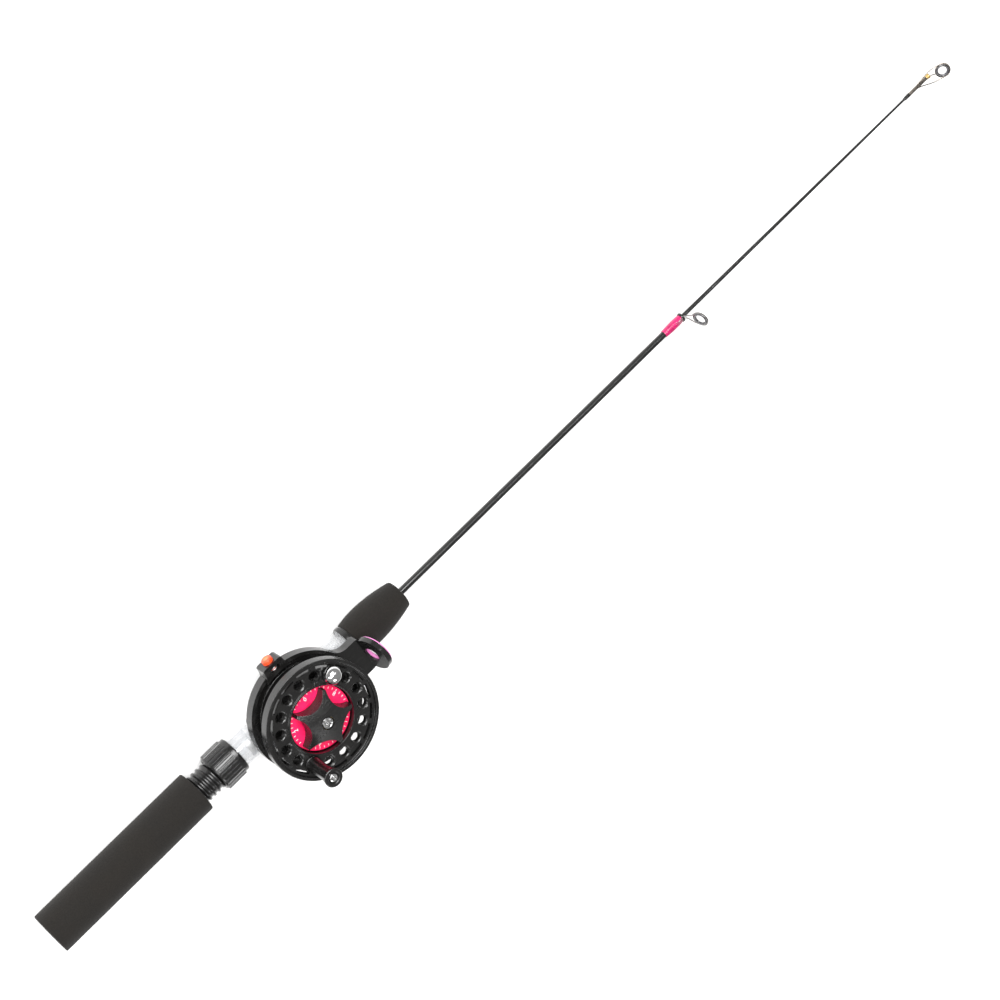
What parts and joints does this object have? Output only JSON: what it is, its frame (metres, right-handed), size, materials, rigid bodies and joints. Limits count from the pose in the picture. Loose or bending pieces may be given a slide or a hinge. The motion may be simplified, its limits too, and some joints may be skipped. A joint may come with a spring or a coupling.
{
  "type": "ice fishing rod",
  "caption": "Short ice fishing rod with foam grips, a clear reel seat with a lock nut, a centre-pin reel with a star drag knob, and a tip section that slides into the lower blank.",
  "frame": {"origin": "centre of the butt's end face, on the rod's axis", "axes": "+X along the rod to its tip, +Z to the reel and the line guides, +Y to the side of the push button"},
  "size_m": [0.6252, 0.0647, 0.0615],
  "materials": {
    "foam": "fine-celled foam, matt",
    "black_abs": "moulded, semi-gloss",
    "spool_black": "moulded, semi-gloss, countersunk holes",
    "knob_black": "moulded, fine texture",
    "nut_black": "moulded, satin",
    "clear_plastic": "clear, polished",
    "blank_black": "lacquered",
    "tip_black": "lacquered",
    "wrap_pink": "thread under clear epoxy",
    "insert_pink": "polished",
    "dial_crimson": "smooth",
    "button_orange": "smooth",
    "chrome": "polished",
    "steel": "plain",
    "brass": "plain",
    "ceramic_dark": "polished",
    "inner_tube": "plain",
    "felt": "felt",
    "brake_rubber": "plain"
  },
  "bodies": {
    "rod": {"rear_grip": "foam", "butt_plug": "nut_black", "handle_tube": "inner_tube", "threaded_sleeve": "nut_black", "seat_tube": "clear_plastic", "fixed_hood": "clear_plastic", "fore_collar": "nut_black", "foregrip": "foam", "blank_bushing": "nut_black", "lower_blank": "blank_black", "guide_wrap": "wrap_pink", "wrap_trim": "nut_black", "guide_frame": "chrome", "guide_ring": "ceramic_dark", "reel_foot": "black_abs", "foot_plate": "steel", "foot_screws": "steel", "reel_frame": "black_abs", "line_guide_insert": "insert_pink", "spool_axle": "steel", "axle_nut": "steel", "centre_screw": "chrome", "drag_plate": "steel", "button_spring": "steel"},
    "spool": {"spool": "spool_black", "spool_bush": "brass", "dial_ring": "dial_crimson", "drag_washer": "felt", "counterweight": "chrome", "crank_post": "chrome", "crank_washer": "steel"},
    "crank knob": {"crank_knob": "knob_black"},
    "drag knob": {"star_knob": "knob_black", "knob_insert": "brass", "drag_spring": "steel"},
    "button": {"release_button": "button_orange", "brake_shoe": "brake_rubber"},
    "sliding hood": {"sliding_hood": "clear_plastic"},
    "lock nut": {"lock_nut": "nut_black"},
    "tip section": {"upper_blank": "tip_black", "tip_sleeve": "tip_black", "tip_top_frame": "chrome", "tip_ring": "ceramic_dark"}
  },
  "joints": [
    {"name": "spool_spin", "type": "hinge", "parent": "rod", "child": "spool", "pos_m": [0.153, 0, 0.02], "axis": [0, 0, 1], "continuous": true},
    {"name": "crank_knob_spin", "type": "hinge", "parent": "spool", "child": "crank knob", "pos_m": [0.13677, -0.01441, 0.04], "axis": [0, 0, 1], "continuous": true},
    {"name": "drag_knob_turn", "type": "hinge", "parent": "rod", "child": "drag knob", "pos_m": [0.153, 0, 0.03], "axis": [0, 0, 1], "range_deg": [-135, 135]},
    {"name": "button_press", "type": "slide", "parent": "rod", "child": "button", "axis": [0, -1, 0], "range_m": [0, 0.0016], "stiffness_N_per_m": 900, "springref_m": -0.0012, "deforming": ["button_spring"]},
    {"name": "hood_slide", "type": "slide", "parent": "rod", "child": "sliding hood", "axis": [1, 0, 0], "range_m": [-0.006, 0]},
    {"name": "nut_turn", "type": "hinge", "parent": "sliding hood", "child": "lock nut", "pos_m": [0.11, 0, 0], "axis": [1, 0, 0], "range_deg": [-790, 5]},
    {"name": "tip_slide", "type": "slide", "parent": "rod", "child": "tip section", "axis": [1, 0, 0], "range_m": [-0.16, 0]}
  ],
  "couplings": [
    {"joint": "nut_turn", "follows": "hood_slide", "rad_per_m": 2284.8}
  ]
}
